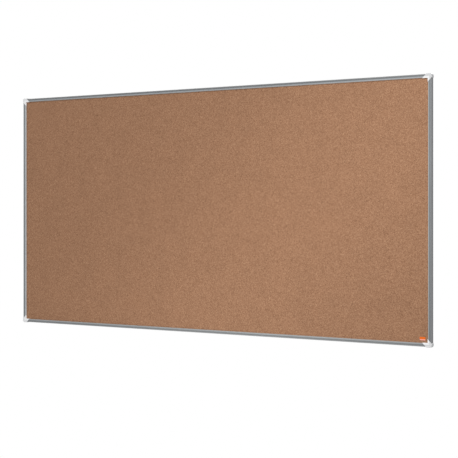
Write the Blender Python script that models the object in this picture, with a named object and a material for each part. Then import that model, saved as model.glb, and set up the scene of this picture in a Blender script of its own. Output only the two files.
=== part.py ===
"""Cork bulletin board: a cork-faced panel in a slim aluminium frame with white plastic corners.

Metres, +Z up. The board hangs on a wall: the wall plane is y = 0, the cork faces -Y, and the origin
is on the wall plane at the middle of the board.

A rail's section is drawn in (u, v): u runs from the rail's outer face inwards, v from the wall
forwards. A corner is drawn in (s, t, v): s and t run along the two outer faces that meet there.
"""

import math

import bmesh
import bpy
from mathutils import Matrix, Vector

MM = 0.001

# Driving dimensions
WIDTH = 1800 * MM
HEIGHT = 900 * MM
RAIL_DEPTH = 15 * MM
RAIL_FACE = 12 * MM
WALL = 1.2 * MM
GAP = 0.3 * MM

# Rail section
RIDGE_ROUND = 1.8 * MM
CHANNEL_START = 3 * MM
CHANNEL_END = 7 * MM
CHANNEL_DEPTH = 1.1 * MM
LIP_ROUND = 1.4 * MM
LIP_HEIGHT = 6.5 * MM
FLANGE = 10 * MM
CHAMBER_BOTTOM = RAIL_DEPTH - LIP_HEIGHT + WALL
CHAMBER_TOP = RAIL_DEPTH - CHANNEL_DEPTH - WALL
CHAMBER_INNER = RAIL_FACE - WALL
EDGE_BREAK = 0.25 * MM

# Panel, from the cork back to the wall
PANEL_INSET = 5 * MM
PANEL_FRONT = RAIL_DEPTH - LIP_HEIGHT - GAP
PANEL_BACK = WALL + GAP
CORK_THICKNESS = 1.8 * MM
BACKING_THICKNESS = 0.6 * MM

# Corners
CORNER_OUTSET = 2 * MM
CORNER_PROUD = 1.2 * MM
CORNER_CENTRE = 6 * MM
CORNER_BLOCK = 12.1 * MM
LEVEL_ARM = 19.5 * MM
UPRIGHT_ARM = 13.2 * MM
RAIL_CUT = CORNER_BLOCK + GAP
COVER_WALL = 0.9 * MM
COVER_ROUND = 1.5 * MM
COVER_CHANNEL_START = 2.6 * MM
COVER_CHANNEL_END = 7 * MM
COVER_CHANNEL_DEPTH = 0.8 * MM
SKIRT_WALL = 1.2 * MM
SKIRT_BOTTOM = 9 * MM
BASE_TOP = 13.7 * MM
CORNER_STEPS = 8

# Steel keys and the wall screw's way through them
KEY_CLEARANCE = 0.4 * MM
KEY_REACH = 46 * MM
KEY_TAPER = 2 * MM
SCREW_CENTRE = 5.6 * MM
SCREW_BORE = 2.5 * MM
SCREW_HEAD = 4.6 * MM
HEAD_WELL = 4.9 * MM

# Label
LABEL_WIDTH = 21 * MM
LABEL_HEIGHT = 11 * MM
LABEL_THICKNESS = 0.5 * MM
LABEL_ROUND = 1.2 * MM
LABEL_FROM_SIDE = 24 * MM
LABEL_FROM_BOTTOM = 20.3 * MM

ROUND_STEPS = 6
HOLE_SIDES = 32
SMOOTH_ANGLE = math.radians(35)
MERGE = 1e-6

# Each corner's directions for s, t and v, and the signs of x and z at its outer point
CORNERS = {
    "top_left": (Vector((0, 0, -1)), Vector((1, 0, 0)), (-1, 1)),
    "top_right": (Vector((-1, 0, 0)), Vector((0, 0, -1)), (1, 1)),
    "bottom_right": (Vector((0, 0, 1)), Vector((-1, 0, 0)), (1, -1)),
    "bottom_left": (Vector((1, 0, 0)), Vector((0, 0, 1)), (-1, -1)),
}
FORWARD = Vector((0, -1, 0))


def clear_scene():
    for obj in list(bpy.data.objects):
        bpy.data.objects.remove(obj, do_unlink=True)


def new_collection(name):
    collection = bpy.data.collections.new(name)
    bpy.context.scene.collection.children.link(collection)
    return collection


def new_material(name, colour, roughness, metallic=0.0):
    material = bpy.data.materials.new(name)
    material.use_nodes = True
    shader = material.node_tree.nodes["Principled BSDF"]
    shader.inputs["Base Color"].default_value = (*colour, 1.0)
    shader.inputs["Roughness"].default_value = roughness
    shader.inputs["Metallic"].default_value = metallic
    material.diffuse_color = (*colour, 1.0)
    return material


def arc(centre, radius, start, end, steps=ROUND_STEPS):
    """Points on an arc, from one angle to another in degrees."""
    points = []
    for step in range(steps + 1):
        angle = math.radians(start + (end - start) * step / steps)
        points.append(
            (centre[0] + radius * math.cos(angle), centre[1] + radius * math.sin(angle))
        )
    return points


def dip(start, end, level, depth, steps=ROUND_STEPS):
    """Points along a shallow round channel that dips from a level line."""
    half = (end - start) / 2
    radius = (half**2 + depth**2) / (2 * depth)
    spread = math.degrees(math.asin(half / radius))
    centre = ((start + end) / 2, level + radius - depth)
    return arc(centre, radius, 270 - spread, 270 + spread, steps)


def rounded_rectangle(width, height, radius):
    x, y = width / 2 - radius, height / 2 - radius
    points = []
    for cx, cy, start in ((x, y, 0), (-x, y, 90), (-x, -y, 180), (x, -y, 270)):
        points += arc((cx, cy), radius, start, start + 90, 4)
    return points


def orientation(first, second, third, origin):
    """The matrix that takes local x, y and z to three world directions at an origin."""
    matrix = Matrix((first, second, third)).transposed().to_4x4()
    matrix.translation = origin
    return matrix


def finish(obj, material, collection):
    obj.data.materials.clear()
    obj.data.materials.append(material)
    obj.data.shade_smooth()
    obj.data.set_sharp_from_angle(angle=SMOOTH_ANGLE)
    for old in list(obj.users_collection):
        old.objects.unlink(obj)
    collection.objects.link(obj)
    return obj


def extruded(name, loops, thickness, matrix, material, collection):
    """A solid with a flat outline, holes included, whose thickness is centred on its local z = 0."""
    curve = bpy.data.curves.new(name + "_outline", "CURVE")
    curve.dimensions = "2D"
    curve.fill_mode = "BOTH"
    curve.extrude = thickness / 2
    for loop in loops:
        spline = curve.splines.new("POLY")
        spline.points.add(len(loop) - 1)
        for point, (x, y) in zip(spline.points, loop):
            point.co = (x, y, 0, 1)
        spline.use_cyclic_u = True
    outline = bpy.data.objects.new(name + "_outline", curve)
    bpy.context.scene.collection.objects.link(outline)
    graph = bpy.context.evaluated_depsgraph_get()
    mesh = bpy.data.meshes.new_from_object(outline.evaluated_get(graph))
    mesh.name = name
    bpy.data.objects.remove(outline, do_unlink=True)
    weld(mesh)
    obj = bpy.data.objects.new(name, mesh)
    obj.matrix_world = matrix
    return finish(obj, material, collection)


def weld(mesh):
    cells = bmesh.new()
    cells.from_mesh(mesh)
    bmesh.ops.remove_doubles(cells, verts=cells.verts, dist=MERGE)
    bmesh.ops.recalc_face_normals(cells, faces=cells.faces)
    cells.to_mesh(mesh)
    cells.free()


def cutter(name, mesh, matrix, collection):
    obj = bpy.data.objects.new(name, mesh)
    obj.matrix_world = matrix
    obj.hide_render = True
    obj.display_type = "WIRE"
    collection.objects.link(obj)
    return obj


def turned_mesh(name, radius_low, radius_high, low, high, centre):
    """A cylinder or cone along local z, from one height to another."""
    mesh = bpy.data.meshes.new(name)
    cells = bmesh.new()
    middle = Matrix.Translation((centre[0], centre[1], (low + high) / 2))
    bmesh.ops.create_cone(
        cells,
        cap_ends=True,
        segments=HOLE_SIDES,
        radius1=radius_low,
        radius2=radius_high,
        depth=high - low,
        matrix=middle,
    )
    cells.to_mesh(mesh)
    cells.free()
    return mesh


def boolean(obj, operation, other):
    modifier = obj.modifiers.new(operation.lower(), "BOOLEAN")
    modifier.operation = operation
    modifier.object = other
    modifier.solver = "EXACT"


def rail_section():
    """The extrusion's outer loop and its closed key chamber."""
    front = RAIL_DEPTH
    outside = [(EDGE_BREAK, 0), (0, EDGE_BREAK)]
    outside += arc((RIDGE_ROUND, front - RIDGE_ROUND), RIDGE_ROUND, 180, 90)
    outside += dip(CHANNEL_START, CHANNEL_END, front, CHANNEL_DEPTH)
    outside += arc((RAIL_FACE - LIP_ROUND, front - LIP_ROUND), LIP_ROUND, 90, 0, 4)
    outside += [
        (RAIL_FACE, front - LIP_HEIGHT),
        (WALL, front - LIP_HEIGHT),
        (WALL, WALL),
        (FLANGE, WALL),
        (FLANGE, EDGE_BREAK),
        (FLANGE - EDGE_BREAK, 0),
    ]
    chamber = [
        (WALL, CHAMBER_BOTTOM),
        (CHAMBER_INNER, CHAMBER_BOTTOM),
        (CHAMBER_INNER, CHAMBER_TOP),
        (WALL, CHAMBER_TOP),
    ]
    return [outside, chamber]


def make_rails(material, collection):
    side, up = Vector((1, 0, 0)), Vector((0, 0, 1))
    rails = {
        "rail_top": (-up, HEIGHT, WIDTH),
        "rail_bottom": (up, HEIGHT, WIDTH),
        "rail_left": (side, WIDTH, HEIGHT),
        "rail_right": (-side, WIDTH, HEIGHT),
    }
    for name, (inward, across, along) in rails.items():
        matrix = orientation(inward, FORWARD, inward.cross(FORWARD), -inward * across / 2)
        length = along - 2 * RAIL_CUT
        extruded(name, rail_section(), length, matrix, material, collection)


def panel_outline():
    """The panel's outline in (x, z), notched where the corner blocks stand."""
    far_x, far_z = WIDTH / 2 - PANEL_INSET, HEIGHT / 2 - PANEL_INSET
    near_x, near_z = WIDTH / 2 - RAIL_CUT, HEIGHT / 2 - RAIL_CUT
    quarter = [(far_x, near_z), (near_x, near_z), (near_x, far_z)]
    points = list(quarter)
    points += [(-x, z) for x, z in reversed(quarter)]
    points += [(-x, -z) for x, z in quarter]
    points += [(x, -z) for x, z in reversed(quarter)]
    return points


def sheet_matrix(low, high):
    """Local x and y become world x and z, and the sheet lies between two heights off the wall."""
    middle = FORWARD * (low + high) / 2
    return orientation(Vector((1, 0, 0)), Vector((0, 0, 1)), FORWARD, middle)


def make_panel(cork, core, backing, collection):
    cork_back = PANEL_FRONT - CORK_THICKNESS
    backing_front = PANEL_BACK + BACKING_THICKNESS
    layers = {
        "cork_sheet": (cork_back, PANEL_FRONT, cork),
        "core_board": (backing_front + GAP, cork_back - GAP, core),
        "backing_sheet": (PANEL_BACK, backing_front, backing),
    }
    for name, (low, high, material) in layers.items():
        matrix = sheet_matrix(low, high)
        extruded(name, [panel_outline()], high - low, matrix, material, collection)


def make_label(material, collection):
    low = PANEL_FRONT + GAP
    matrix = sheet_matrix(low, low + LABEL_THICKNESS)
    matrix.translation.x = WIDTH / 2 - LABEL_FROM_SIDE - LABEL_WIDTH / 2
    matrix.translation.z = -HEIGHT / 2 + LABEL_FROM_BOTTOM + LABEL_HEIGHT / 2
    outline = rounded_rectangle(LABEL_WIDTH, LABEL_HEIGHT, LABEL_ROUND)
    extruded("label_badge", [outline], LABEL_THICKNESS, matrix, material, collection)


def corner_matrix(corner, lift=0.0):
    along, across, (sign_x, sign_z) = CORNERS[corner]
    origin = Vector((sign_x * WIDTH / 2, 0, sign_z * HEIGHT / 2)) + FORWARD * lift
    return orientation(along, across, FORWARD, origin)


def arm_lengths(corner):
    """How far the cover runs along s and along t at the rails' outer faces: further on the level."""
    return [UPRIGHT_ARM if direction.z else LEVEL_ARM for direction in CORNERS[corner][:2]]


def key_outline(reach, spare):
    """An L with tapered tips in (s, t). spare widens it, for the slot that takes it."""
    low = WALL + KEY_CLEARANCE - spare
    high = CHAMBER_INNER - KEY_CLEARANCE + spare
    tip = reach - KEY_TAPER
    arm = [(high, high), (tip, high), (reach, high - KEY_TAPER), (reach, low + KEY_TAPER), (tip, low)]
    return arm + [(low, low)] + [(t, s) for s, t in reversed(arm[1:])]


def make_keys(material, collection, helpers):
    low = CHAMBER_BOTTOM + KEY_CLEARANCE
    high = CHAMBER_TOP - KEY_CLEARANCE
    thickness = high - low
    centre = (SCREW_CENTRE, SCREW_CENTRE)
    hole = turned_mesh(
        "key_countersink", SCREW_BORE, SCREW_HEAD, -thickness, thickness / 2 + GAP, centre
    )
    for corner in CORNERS:
        matrix = corner_matrix(corner, (low + high) / 2)
        outline = key_outline(KEY_REACH, 0)
        key = extruded(f"corner_key_{corner}", [outline], thickness, matrix, material, collection)
        boolean(key, "DIFFERENCE", cutter(f"key_hole_{corner}", hole, matrix, helpers))


def square_column(outer):
    """A square with its outer corner rounded, in (s, t), up to the corner block's inner faces."""
    radius = CORNER_CENTRE - outer
    corner = arc((CORNER_CENTRE, CORNER_CENTRE), radius, 180, 270, CORNER_STEPS)
    return corner + [(CORNER_BLOCK, outer), (CORNER_BLOCK, CORNER_BLOCK), (outer, CORNER_BLOCK)]


def base_foot_outline(arms):
    """The foot: the block, and a wing outside each rail that ends on the cover's 45 degree cut."""
    outer, wing = -CORNER_OUTSET, -GAP
    corner = arc((CORNER_CENTRE, CORNER_CENTRE), CORNER_CENTRE - outer, 180, 270, CORNER_STEPS)
    along, across = (
        [(length + outer, outer), (length + wing, wing), (CORNER_BLOCK, wing)] for length in arms
    )
    return corner + along + [(CORNER_BLOCK, CORNER_BLOCK)] + [(t, s) for s, t in reversed(across)]


def make_bases(material, collection, helpers):
    foot_top = SKIRT_BOTTOM - GAP
    column_low = foot_top - WALL
    column_outer = -CORNER_OUTSET + SKIRT_WALL + GAP
    centre = (SCREW_CENTRE, SCREW_CENTRE)
    slot_low = CHAMBER_BOTTOM + KEY_CLEARANCE - GAP
    slot_high = CHAMBER_TOP - KEY_CLEARANCE + GAP
    bore = turned_mesh("screw_bore", SCREW_BORE, SCREW_BORE, -WALL, slot_high, centre)
    well = turned_mesh("head_well", HEAD_WELL, HEAD_WELL, slot_high - GAP, BASE_TOP + WALL, centre)
    for corner in CORNERS:
        column = extruded(
            f"base_column_{corner}",
            [square_column(column_outer)],
            BASE_TOP - column_low,
            corner_matrix(corner, (BASE_TOP + column_low) / 2),
            material,
            helpers,
        )
        slot = extruded(
            f"key_slot_{corner}",
            [key_outline(KEY_REACH, GAP)],
            slot_high - slot_low,
            corner_matrix(corner, (slot_high + slot_low) / 2),
            material,
            helpers,
        )
        base = extruded(
            f"corner_base_{corner}",
            [base_foot_outline(arm_lengths(corner))],
            foot_top,
            corner_matrix(corner, foot_top / 2),
            material,
            collection,
        )
        for helper in (column, slot):
            helper.hide_render = True
            helper.display_type = "WIRE"
        matrix = corner_matrix(corner)
        boolean(base, "UNION", column)
        boolean(base, "DIFFERENCE", slot)
        boolean(base, "DIFFERENCE", cutter(f"base_bore_{corner}", bore, matrix, helpers))
        boolean(base, "DIFFERENCE", cutter(f"base_well_{corner}", well, matrix, helpers))


def cover_section():
    """The cover's loop in (u, v): it repeats the rail's ridge, channel and lip, and wraps its sides."""
    top = RAIL_DEPTH + CORNER_PROUD
    under = top - COVER_WALL
    outer = -CORNER_OUTSET
    inner = RAIL_FACE + GAP + COVER_WALL
    bottom = RAIL_DEPTH - LIP_HEIGHT
    start, end = COVER_CHANNEL_START, COVER_CHANNEL_END
    narrow = COVER_WALL / 4
    section = [(outer, SKIRT_BOTTOM)]
    section += arc((outer + COVER_ROUND, top - COVER_ROUND), COVER_ROUND, 180, 90)
    section += dip(start, end, top, COVER_CHANNEL_DEPTH)
    section += arc((inner - LIP_ROUND, top - LIP_ROUND), LIP_ROUND, 90, 0, 4)
    section += [(inner, bottom), (inner - COVER_WALL, bottom), (inner - COVER_WALL, under)]
    section += reversed(dip(start + narrow, end - narrow, under, COVER_CHANNEL_DEPTH))
    section += [(outer + SKIRT_WALL, under), (outer + SKIRT_WALL, SKIRT_BOTTOM)]
    return section


def corner_path(u, arms):
    """Where a section point at depth u runs: up one arm, round the outer corner and down the other."""
    along, across = (length + u for length in arms)
    radius = max(CORNER_CENTRE - u, 0)
    middle = max(CORNER_CENTRE, u)
    turn = arc((middle, middle), radius, 180, 270, CORNER_STEPS)
    return [(u, across)] + turn + [(along, u)]


def cover_mesh(arms):
    """The cover's section carried round the corner. Its arms end on 45 degree cuts."""
    cells = bmesh.new()
    rings = []
    for u, v in cover_section():
        rings.append([cells.verts.new((s, t, v)) for s, t in corner_path(u, arms)])
    count, stations = len(rings), len(rings[0])
    for index in range(count):
        here, following = rings[index], rings[(index + 1) % count]
        for step in range(stations - 1):
            cells.faces.new((here[step], following[step], following[step + 1], here[step + 1]))
    for station in (0, stations - 1):
        cells.faces.new([ring[station] for ring in rings])
    bmesh.ops.remove_doubles(cells, verts=cells.verts, dist=MERGE)
    bmesh.ops.recalc_face_normals(cells, faces=cells.faces)
    mesh = bpy.data.meshes.new("corner_cover")
    cells.to_mesh(mesh)
    cells.free()
    return mesh


def make_covers(material, collection):
    for corner in CORNERS:
        cover = bpy.data.objects.new(f"corner_cover_{corner}", cover_mesh(arm_lengths(corner)))
        cover.matrix_world = corner_matrix(corner)
        finish(cover, material, collection)


def main():
    clear_scene()
    parts = new_collection("cork_bulletin_board")
    helpers = new_collection("cutters")
    cork = new_material("cork", (0.37, 0.20, 0.11), 0.95)
    fibreboard = new_material("fibreboard", (0.33, 0.24, 0.15), 0.9)
    liner = new_material("grey_liner", (0.30, 0.30, 0.29), 0.7)
    aluminium = new_material("anodised_aluminium", (0.42, 0.43, 0.44), 0.35, 1.0)
    steel = new_material("zinc_plated_steel", (0.55, 0.55, 0.53), 0.35, 1.0)
    white = new_material("white_plastic", (0.86, 0.86, 0.86), 0.4)
    orange = new_material("orange_label", (0.80, 0.16, 0.01), 0.5)
    make_panel(cork, fibreboard, liner, parts)
    make_rails(aluminium, parts)
    make_keys(steel, parts, helpers)
    make_bases(white, parts, helpers)
    make_covers(white, parts)
    make_label(orange, parts)


main()
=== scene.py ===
"""Cork bulletin board on a white studio ground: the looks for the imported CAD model.

Metres, +Z up, as in the CAD: the wall plane is y = 0, the cork faces -Y, and the origin is on the
wall plane at the middle of the board.
"""

import math

import bmesh
import bpy
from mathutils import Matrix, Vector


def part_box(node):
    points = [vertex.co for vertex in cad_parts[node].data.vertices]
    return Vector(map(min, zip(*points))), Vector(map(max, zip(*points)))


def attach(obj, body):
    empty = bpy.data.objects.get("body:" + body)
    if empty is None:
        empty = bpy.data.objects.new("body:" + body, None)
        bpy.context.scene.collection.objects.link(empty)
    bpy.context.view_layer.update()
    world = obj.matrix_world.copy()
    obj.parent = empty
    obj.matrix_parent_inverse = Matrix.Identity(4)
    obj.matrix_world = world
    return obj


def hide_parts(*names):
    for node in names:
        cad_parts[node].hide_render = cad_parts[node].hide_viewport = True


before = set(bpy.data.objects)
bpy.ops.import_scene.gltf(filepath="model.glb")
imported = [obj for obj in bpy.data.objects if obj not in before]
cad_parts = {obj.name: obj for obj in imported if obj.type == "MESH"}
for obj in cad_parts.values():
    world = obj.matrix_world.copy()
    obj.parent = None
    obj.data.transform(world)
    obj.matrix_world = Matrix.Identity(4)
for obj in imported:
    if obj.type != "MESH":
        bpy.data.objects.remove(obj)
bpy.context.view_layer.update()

MM = 0.001

# Mesh work: points this close become one, faces this nearly level become one, edges flatter than
# the smooth angle are shaded smooth, and edges sharper than the edge angle are softened
MERGE = 1e-6
FLAT_ANGLE = math.radians(0.2)
SMOOTH_ANGLE = math.radians(32)
EDGE_ANGLE = math.radians(40)
EDGE_SEGMENTS = 2
PLASTIC_EDGE = 0.12 * MM
STEEL_EDGE = 0.15 * MM

# Camera, as the board was seen: level, at mid-height, from the right
CAMERA_PLACE = (2.75494, -3.99403, 0.0)
CAMERA_TURN = 33.7106
LENS = 103.72
SENSOR = 36.0
SHIFT_UP = -0.04059

# Studio
BACKGROUND = (1.0, 1.0, 1.0)
AMBIENT = (0.474, 0.479, 0.488)
FLOOR_HEIGHT = -1.5
FLOOR_RADIUS = 3.25
FLOOR_SIDES = 96
FLOOR_FADE_START = 1.6
FLOOR_FADE_END = 3.2

# Soft panels: place, turn in degrees, width and height, radiance. Turned (90, 0, 0), one faces the board
LIGHTS = {
    "right_box": ((2.0, -3.5, 2.0), (63.6, 0.0, 29.7), (1.8, 1.8), 7.5),
    "left_box": ((-4.2, -3.8, 1.9), (71.9, 0.0, -43.5), (1.8, 1.8), 4.0),
    "rear_box": ((-0.6, 3.6, 1.6), (66.3, 0.0, 189.5), (1.8, 1.8), 6.0),
    "diagonal_panel": ((0.4, -0.6, -0.1), (90.0, -45.0, 0.0), (2.4, 0.4), 0.93),
}

# Cork: granule sizes and their shares of the tone, the wander of their outlines, the tones from
# dark to light, and the dark flecks
COARSE_GRANULE = 2.9 * MM
FINE_GRANULE = 1.3 * MM
COARSE_SHARE = 0.42
FINE_SHARE = 0.58
GRANULE_WANDER = 2.4 * MM
CORK_TONES = (
    (0.05, (0.229, 0.109, 0.055)),
    (0.35, (0.336, 0.1690, 0.0915)),
    (0.62, (0.404, 0.2135, 0.119)),
    (0.95, (0.508, 0.288, 0.167)),
)
FLECK_COLOUR = (0.105, 0.046, 0.024)
FLECK_LIMIT = 0.955
FLECK_STRENGTH = 0.6

# The frame's outer face, and the bands of its section, by depth inwards from that face. The blend
# between two bands is a share of the span
HALF_WIDTH = 900 * MM
HALF_HEIGHT = 450 * MM
BAND_SPAN = 20 * MM
CHANNEL_BAND = (3 * MM, 7 * MM)
WALL_BAND = 11.6 * MM
BAND_BLEND = 0.02

# Each rail's metal, band by band: ridge, channel, lip, lip's wall
# Painted light: shade in the channel, a highlight on the lip and its wall, and each rail a lit or shaded
# copy of one metal
RAIL_PAINTED_LIGHT_TONES = {
    "top": ((0.288, 0.290, 0.292), (0.183, 0.192, 0.196), (0.340, 0.356, 0.364), (0.64, 0.66, 0.67)),
    "bottom": ((0.336, 0.340, 0.340), (0.214, 0.222, 0.225), (0.335, 0.347, 0.352), (0.57, 0.58, 0.58)),
    "left": ((0.308, 0.310, 0.308), (0.178, 0.186, 0.190), (0.355, 0.385, 0.395), (0.72, 0.78, 0.82)),
    "right": ((0.305, 0.304, 0.306), (0.138, 0.158, 0.168), (0.330, 0.342, 0.342), (0.62, 0.64, 0.65)),
}

# Each cover's white, in the same bands, as grey levels
# Painted light: a highlight on the lip and its wall, shade in the channel, and each cover a lit or shaded
# copy of one white
COVER_PAINTED_LIGHT_TONES = {
    "top_left": (0.83, 0.79, 0.95, 0.96),
    "top_right": (0.60, 0.57, 0.77, 0.86),
    "bottom_left": (0.84, 0.80, 0.93, 0.95),
    "bottom_right": (0.73, 0.69, 0.90, 0.93),
}
BASE_TONE = 0.74

# How much shorter the noise is read along a rail than across it, which draws it out into lines
DIE_LINE_STRETCH = 0.012

# The label's pale strip ends, and its orange begins, at these shares of its height
LABEL_STRIP = (0.335, 0.350)


# ---------------------------------------------------------------- node helpers


def put(tree, kind, inputs=None, **settings):
    """Adds a node. An input is a constant, or a socket to link from."""
    made = tree.nodes.new(kind)
    for name, value in settings.items():
        setattr(made, name, value)
    for name, value in (inputs or {}).items():
        socket = made.inputs[name]
        if isinstance(value, bpy.types.NodeSocket):
            tree.links.new(value, socket)
        else:
            socket.default_value = value
    return made


def calc(tree, operation, first, second=0.0, third=0.0):
    return put(
        tree,
        "ShaderNodeMath",
        {0: first, 1: second, 2: third},
        operation=operation,
    ).outputs[0]


def ramp(tree, factor, stops, interpolation="LINEAR"):
    """A colour ramp. Each stop is a position and a grey level or a colour."""
    made = put(tree, "ShaderNodeValToRGB", {"Fac": factor})
    made.color_ramp.interpolation = interpolation
    elements = made.color_ramp.elements
    while len(elements) < len(stops):
        elements.new(0.5)
    for element, (position, value) in zip(elements, stops):
        element.position = position
        colour = value if isinstance(value, tuple) else (value,) * 3
        element.color = (*colour, 1.0)
    return made.outputs["Color"]


def mixed(tree, blend, factor, first, second):
    """A colour mix: first and second are colours or sockets."""
    made = put(tree, "ShaderNodeMix", data_type="RGBA", blend_type=blend)
    for socket, value in ((made.inputs[0], factor), (made.inputs[6], first), (made.inputs[7], second)):
        if isinstance(value, bpy.types.NodeSocket):
            tree.links.new(value, socket)
        elif isinstance(value, tuple):
            socket.default_value = (*value, 1.0)
        else:
            socket.default_value = value
    return made.outputs[2]


def noise(tree, place, size, detail=2.0, roughness=0.5):
    """Noise whose features are about the given size, in metres."""
    return put(
        tree,
        "ShaderNodeTexNoise",
        {"Vector": place, "Scale": 1 / size, "Detail": detail, "Roughness": roughness},
    )


def cells(tree, place, size, feature="F1"):
    """Voronoi cells of about the given size, in metres."""
    return put(
        tree,
        "ShaderNodeTexVoronoi",
        {"Vector": place, "Scale": 1 / size},
        feature=feature,
    )


def bump(tree, height, depth, strength=1.0, under=None):
    """Bump whose height of 1 stands for the given depth, in metres."""
    inputs = {"Height": height, "Distance": depth, "Strength": strength}
    if under is not None:
        inputs["Normal"] = under
    return put(tree, "ShaderNodeBump", inputs).outputs["Normal"]


def stretched(tree, place, factors):
    """The place, with each axis multiplied by its factor."""
    return put(
        tree,
        "ShaderNodeVectorMath",
        {0: place, 1: factors},
        operation="MULTIPLY",
    ).outputs[0]


def shifted(tree, place, colour, reach):
    """The place, moved at random by up to half the reach on each axis, after a noise colour."""
    centred = put(
        tree, "ShaderNodeVectorMath", {0: colour, 1: (0.5, 0.5, 0.5)}, operation="SUBTRACT"
    ).outputs[0]
    return put(
        tree,
        "ShaderNodeVectorMath",
        {0: centred, 1: (reach, reach, reach), 2: place},
        operation="MULTIPLY_ADD",
    ).outputs[0]


def new_material(name):
    """A material with its node tree, its shader and the object's own coordinates."""
    material = bpy.data.materials.new(name)
    material.use_nodes = True
    tree = material.node_tree
    place = put(tree, "ShaderNodeTexCoord").outputs["Object"]
    return material, tree, tree.nodes["Principled BSDF"], place


# ------------------------------------------------------------------- materials


def cork_material():
    """Fine-grained agglomerated cork: small granules in tan to brown, a few dark bark flecks."""
    material, tree, shader, place = new_material("cork_grain")
    waver = noise(tree, place, 3 * MM, detail=3.0).outputs["Color"]
    bent = shifted(tree, place, waver, GRANULE_WANDER)

    coarse = cells(tree, bent, COARSE_GRANULE)
    fine = cells(tree, bent, FINE_GRANULE)
    coarse_tone = put(tree, "ShaderNodeSeparateColor", {0: coarse.outputs["Color"]})
    fine_tone = put(tree, "ShaderNodeSeparateColor", {0: fine.outputs["Color"]})
    tone = calc(
        tree,
        "ADD",
        calc(tree, "MULTIPLY", coarse_tone.outputs[0], COARSE_SHARE),
        calc(tree, "MULTIPLY", fine_tone.outputs[0], FINE_SHARE),
    )
    colour = ramp(tree, tone, CORK_TONES)
    fleck = calc(tree, "GREATER_THAN", fine_tone.outputs[1], FLECK_LIMIT)
    colour = mixed(tree, "MIX", calc(tree, "MULTIPLY", fleck, FLECK_STRENGTH), colour, FLECK_COLOUR)
    seam = cells(tree, bent, FINE_GRANULE, feature="DISTANCE_TO_EDGE").outputs["Distance"]
    shade = ramp(tree, seam, [(0.0, 0.80), (0.12, 1.0)])
    colour = mixed(tree, "MULTIPLY", 1.0, colour, shade)
    cloud = noise(tree, place, 90 * MM, detail=3.0).outputs["Fac"]
    colour = mixed(tree, "MULTIPLY", 1.0, colour, ramp(tree, cloud, [(0.3, 0.97), (0.7, 1.03)]))
    tree.links.new(colour, shader.inputs["Base Color"])

    rough = ramp(tree, fine_tone.outputs[2], [(0.0, 0.82), (1.0, 0.96)])
    tree.links.new(rough, shader.inputs["Roughness"])
    shader.inputs["Specular IOR Level"].default_value = 0.25
    crown = ramp(tree, seam, [(0.0, 0.0), (0.35, 1.0)], "EASE")
    relief = bump(tree, crown, 0.12 * MM)
    pores = noise(tree, place, 0.6 * MM, detail=3.0).outputs["Fac"]
    tree.links.new(bump(tree, pores, 0.08 * MM, under=relief), shader.inputs["Normal"])
    return material


def frame_band(tree, place, ridge, channel, lip, wall):
    """A colour for each band of the frame's section: outer ridge, channel, inner lip, lip's wall; the
    colours given paint light and shade across the section.
    """
    apart = put(tree, "ShaderNodeSeparateXYZ", {0: place})
    across = calc(tree, "SUBTRACT", HALF_WIDTH, calc(tree, "ABSOLUTE", apart.outputs["X"]))
    upward = calc(tree, "SUBTRACT", HALF_HEIGHT, calc(tree, "ABSOLUTE", apart.outputs["Z"]))
    depth = calc(tree, "DIVIDE", calc(tree, "MINIMUM", across, upward), BAND_SPAN)
    start, end = (edge / BAND_SPAN for edge in CHANNEL_BAND)
    inner = WALL_BAND / BAND_SPAN
    return ramp(
        tree,
        depth,
        [
            (start - BAND_BLEND, ridge),
            (start + BAND_BLEND, channel),
            (end - BAND_BLEND, channel),
            (end + BAND_BLEND, lip),
            (inner - BAND_BLEND / 2, lip),
            (inner + BAND_BLEND / 2, wall),
        ],
    )


def aluminium_material(name, along, ridge, channel, lip, wall):
    """Satin anodised aluminium, with faint die lines along the rail. Along is its axis: 0 for X, 2 for Z."""
    material, tree, shader, place = new_material(name)
    lengthwise = tuple(DIE_LINE_STRETCH if axis == along else 1.0 for axis in range(3))
    lines = noise(tree, stretched(tree, place, lengthwise), 0.35 * MM, detail=4.0).outputs["Fac"]
    grain = noise(tree, place, 0.25 * MM, detail=2.0).outputs["Fac"]
    cloud = noise(tree, place, 140 * MM, detail=2.0).outputs["Fac"]
    # painted light: the band tones paint shade in the channel and a highlight on the lip, differently per
    # rail
    band = frame_band(tree, place, ridge, channel, lip, wall)
    tone = mixed(tree, "MULTIPLY", 1.0, band, ramp(tree, lines, [(0.25, 0.94), (0.75, 1.06)]))
    tone = mixed(tree, "MULTIPLY", 1.0, tone, ramp(tree, cloud, [(0.3, 0.97), (0.7, 1.03)]))
    tree.links.new(tone, shader.inputs["Base Color"])
    rough = calc(tree, "MULTIPLY_ADD", grain, 0.10, 0.46)
    tree.links.new(rough, shader.inputs["Roughness"])
    shader.inputs["Metallic"].default_value = 0.3
    relief = bump(tree, lines, 0.006 * MM)
    tree.links.new(bump(tree, grain, 0.004 * MM, under=relief), shader.inputs["Normal"])
    return material


def plastic_material(name, tones):
    """Moulded white plastic with a fine satin texture; its band tones, where they differ, paint a highlight
    along the inner lip and shade in the channel.
    """
    material, tree, shader, place = new_material(name)
    cloud = noise(tree, place, 9 * MM, detail=3.0).outputs["Fac"]
    texture = noise(tree, place, 0.3 * MM, detail=2.0).outputs["Fac"]
    # painted light where the band tones differ: highlight on the lip, shade in the channel
    tone = frame_band(tree, place, *tones)
    tone = mixed(tree, "MULTIPLY", 1.0, tone, ramp(tree, cloud, [(0.3, 0.975), (0.7, 1.0)]))
    tree.links.new(tone, shader.inputs["Base Color"])
    tree.links.new(calc(tree, "MULTIPLY_ADD", texture, 0.12, 0.32), shader.inputs["Roughness"])
    tree.links.new(bump(tree, texture, 0.010 * MM), shader.inputs["Normal"])
    return material


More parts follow.
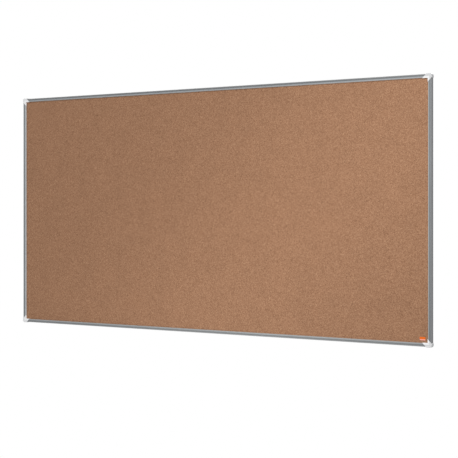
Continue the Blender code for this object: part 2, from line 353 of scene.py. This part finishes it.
def steel_material():
    """Zinc-plated steel, with a faint patchwork of crystals."""
    material, tree, shader, place = new_material("zinc_plated_steel")
    crystals = cells(tree, place, 2.5 * MM)
    patch = put(tree, "ShaderNodeSeparateColor", {0: crystals.outputs["Color"]}).outputs[0]
    tone = ramp(tree, patch, [(0.0, (0.50, 0.50, 0.49)), (1.0, (0.62, 0.62, 0.61))])
    tree.links.new(tone, shader.inputs["Base Color"])
    tree.links.new(calc(tree, "MULTIPLY_ADD", patch, 0.14, 0.28), shader.inputs["Roughness"])
    shader.inputs["Metallic"].default_value = 1.0
    scratches = noise(tree, place, 0.5 * MM, detail=3.0).outputs["Fac"]
    tree.links.new(bump(tree, scratches, 0.008 * MM), shader.inputs["Normal"])
    return material


def fibreboard_material():
    """Soft fibreboard: pressed brown wood fibres."""
    material, tree, shader, place = new_material("fibreboard_pressed")
    flat = stretched(tree, place, (1.0, 4.0, 1.0))
    fibres = noise(tree, flat, 1.2 * MM, detail=6.0, roughness=0.7).outputs["Fac"]
    tone = ramp(tree, fibres, [(0.3, (0.21, 0.135, 0.075)), (0.7, (0.42, 0.30, 0.19))])
    tree.links.new(tone, shader.inputs["Base Color"])
    shader.inputs["Roughness"].default_value = 0.95
    tree.links.new(bump(tree, fibres, 0.15 * MM), shader.inputs["Normal"])
    return material


def backing_material():
    """Grey paper liner on the back, with short fibres and a soft unevenness."""
    material, tree, shader, place = new_material("backing_paper")
    waver = noise(tree, place, 5 * MM, detail=2.0).outputs["Color"]
    bent = shifted(tree, place, waver, 4 * MM)
    fibres = noise(tree, stretched(tree, bent, (0.25, 1.0, 1.0)), 0.8 * MM, detail=4.0).outputs["Fac"]
    cloud = noise(tree, place, 60 * MM, detail=4.0).outputs["Fac"]
    tone = ramp(tree, fibres, [(0.3, (0.33, 0.325, 0.31)), (0.7, (0.45, 0.445, 0.43))])
    tone = mixed(tree, "MULTIPLY", 1.0, tone, ramp(tree, cloud, [(0.3, 0.93), (0.7, 1.05)]))
    tree.links.new(tone, shader.inputs["Base Color"])
    tree.links.new(calc(tree, "MULTIPLY_ADD", fibres, 0.12, 0.78), shader.inputs["Roughness"])
    shader.inputs["Specular IOR Level"].default_value = 0.3
    tree.links.new(bump(tree, fibres, 0.04 * MM), shader.inputs["Normal"])
    return material


def label_material(low, high):
    """Printed sticker: orange above, a pale pink strip along the foot."""
    material, tree, shader, place = new_material("label_print")
    height = put(tree, "ShaderNodeSeparateXYZ", {0: place}).outputs["Z"]
    share = put(
        tree,
        "ShaderNodeMapRange",
        {"Value": height, "From Min": low.z, "From Max": high.z},
    ).outputs["Result"]
    strip_end, orange_start = LABEL_STRIP
    edge = ramp(tree, share, [(strip_end, 0.0), (orange_start, 1.0)])
    paper = noise(tree, place, 0.4 * MM, detail=3.0).outputs["Fac"]
    orange = ramp(tree, paper, [(0.3, (0.80, 0.138, 0.006)), (0.7, (0.87, 0.164, 0.010))])
    pale = ramp(tree, paper, [(0.3, (0.88, 0.36, 0.29)), (0.7, (0.94, 0.42, 0.35))])
    tree.links.new(mixed(tree, "MIX", edge, pale, orange), shader.inputs["Base Color"])
    tree.links.new(calc(tree, "MULTIPLY_ADD", paper, 0.10, 0.36), shader.inputs["Roughness"])
    shader.inputs["Specular IOR Level"].default_value = 0.2
    tree.links.new(bump(tree, paper, 0.01 * MM), shader.inputs["Normal"])
    return material


# ---------------------------------------------------------------------- pieces


def refined(node, name, body, material, softening=0.0):
    """Stands for a CAD node: the same shape, shaded smooth over its rounds, with softened edges."""
    source = bmesh.new()
    source.from_mesh(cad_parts[node].data)
    bmesh.ops.remove_doubles(source, verts=source.verts, dist=MERGE)
    bmesh.ops.dissolve_limit(
        source,
        angle_limit=FLAT_ANGLE,
        use_dissolve_boundaries=False,
        verts=source.verts,
        edges=source.edges,
    )
    source.verts.index_update()
    points = [vert.co.copy() for vert in source.verts]
    faces = [[vert.index for vert in face.verts] for face in source.faces]
    source.free()

    mesh = bpy.data.meshes.new(name)
    mesh.from_pydata(points, [], faces)
    mesh.materials.append(material)
    mesh.shade_smooth()
    mesh.set_sharp_from_angle(angle=SMOOTH_ANGLE)
    piece = bpy.data.objects.new(name, mesh)
    bpy.context.scene.collection.objects.link(piece)
    if softening:
        bevel = piece.modifiers.new("softened_edges", "BEVEL")
        bevel.width = softening
        bevel.segments = EDGE_SEGMENTS
        bevel.limit_method = "ANGLE"
        bevel.angle_limit = EDGE_ANGLE
        bevel.harden_normals = True
    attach(piece, body)
    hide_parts(node)
    return piece


def make_panel():
    refined("cork_sheet", "cork_face", "board", cork_material())
    refined("core_board", "core_layer", "board", fibreboard_material())
    refined("backing_sheet", "backing_liner", "board", backing_material())
    label = label_material(*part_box("label_badge"))
    refined("label_badge", "label_sticker", "board", label, PLASTIC_EDGE)


def make_rails():
    for side, tones in RAIL_PAINTED_LIGHT_TONES.items():
        along = 0 if side in ("top", "bottom") else 2
        material = aluminium_material(f"aluminium_{side}", along, *tones)
        refined(f"rail_{side}", f"frame_rail_{side}", "board", material)


def make_corners():
    base = plastic_material("base_plastic", (BASE_TONE,) * 4)
    steel = steel_material()
    for corner, tones in COVER_PAINTED_LIGHT_TONES.items():
        cover = plastic_material(f"cover_plastic_{corner}", tones)
        refined(f"corner_key_{corner}", f"key_{corner}", "board", steel, STEEL_EDGE)
        refined(f"corner_base_{corner}", f"base_{corner}", "board", base, PLASTIC_EDGE)
        refined(
            f"corner_cover_{corner}",
            f"cover_{corner}_cap",
            f"cover_{corner}",
            cover,
            PLASTIC_EDGE,
        )


# ---------------------------------------------------------------------- studio


def make_world():
    """A white ground for the camera, and an even grey room for light and reflections."""
    world = bpy.data.worlds.new("studio")
    bpy.context.scene.world = world
    world.use_nodes = True
    tree = world.node_tree
    seen = put(tree, "ShaderNodeLightPath").outputs["Is Camera Ray"]
    colour = mixed(tree, "MIX", seen, AMBIENT, BACKGROUND)
    tree.links.new(colour, tree.nodes["Background"].inputs["Color"])


def panel_light(name, place, turn, size, radiance):
    """A soft white panel of even radiance, unseen by the camera."""
    data = bpy.data.lights.new(name, "AREA")
    data.shape = "RECTANGLE"
    data.size, data.size_y = size
    data.energy = radiance * math.pi * size[0] * size[1]
    light = bpy.data.objects.new(name, data)
    bpy.context.scene.collection.objects.link(light)
    light.location = place
    light.rotation_euler = [math.radians(angle) for angle in turn]
    light.visible_camera = False


def make_lights():
    """Soft boxes high on the right, the left and behind, and a faint long panel close in front."""
    for name, settings in LIGHTS.items():
        panel_light(name, *settings)


def floor_material():
    """Pale matt floor that fades into the white ground away from the board."""
    material, tree, shader, place = new_material("studio_floor")
    spread = put(
        tree, "ShaderNodeVectorMath", {0: stretched(tree, place, (1.0, 1.0, 0.0))}, operation="LENGTH"
    ).outputs["Value"]
    fade = put(
        tree,
        "ShaderNodeMapRange",
        {"Value": spread, "From Min": FLOOR_FADE_START, "From Max": FLOOR_FADE_END},
        interpolation_type="SMOOTHSTEP",
    ).outputs["Result"]
    speckle = noise(tree, place, 20 * MM, detail=3.0).outputs["Fac"]
    tone = ramp(tree, speckle, [(0.3, 0.80), (0.7, 0.82)])
    tree.links.new(tone, shader.inputs["Base Color"])
    shader.inputs["Roughness"].default_value = 0.9
    clear = put(tree, "ShaderNodeBsdfTransparent")
    blend = put(
        tree,
        "ShaderNodeMixShader",
        {0: fade, 1: shader.outputs["BSDF"], 2: clear.outputs["BSDF"]},
    )
    tree.links.new(blend.outputs[0], tree.nodes["Material Output"].inputs["Surface"])
    return material


def make_floor():
    made = bmesh.new()
    bmesh.ops.create_circle(made, cap_ends=True, radius=FLOOR_RADIUS, segments=FLOOR_SIDES)
    mesh = bpy.data.meshes.new("floor")
    made.to_mesh(mesh)
    made.free()
    mesh.materials.append(floor_material())
    floor = bpy.data.objects.new("floor", mesh)
    floor.location.z = FLOOR_HEIGHT
    bpy.context.scene.collection.objects.link(floor)


def make_camera():
    data = bpy.data.cameras.new("camera")
    data.lens = LENS
    data.sensor_width = SENSOR
    data.shift_y = SHIFT_UP
    camera = bpy.data.objects.new("camera", data)
    camera.location = CAMERA_PLACE
    camera.rotation_euler = (math.radians(90), 0.0, math.radians(CAMERA_TURN))
    bpy.context.scene.collection.objects.link(camera)
    bpy.context.scene.camera = camera


bpy.context.scene.view_settings.view_transform = "Standard"
make_camera()
make_panel()
make_rails()
make_corners()
make_world()
make_lights()
make_floor()
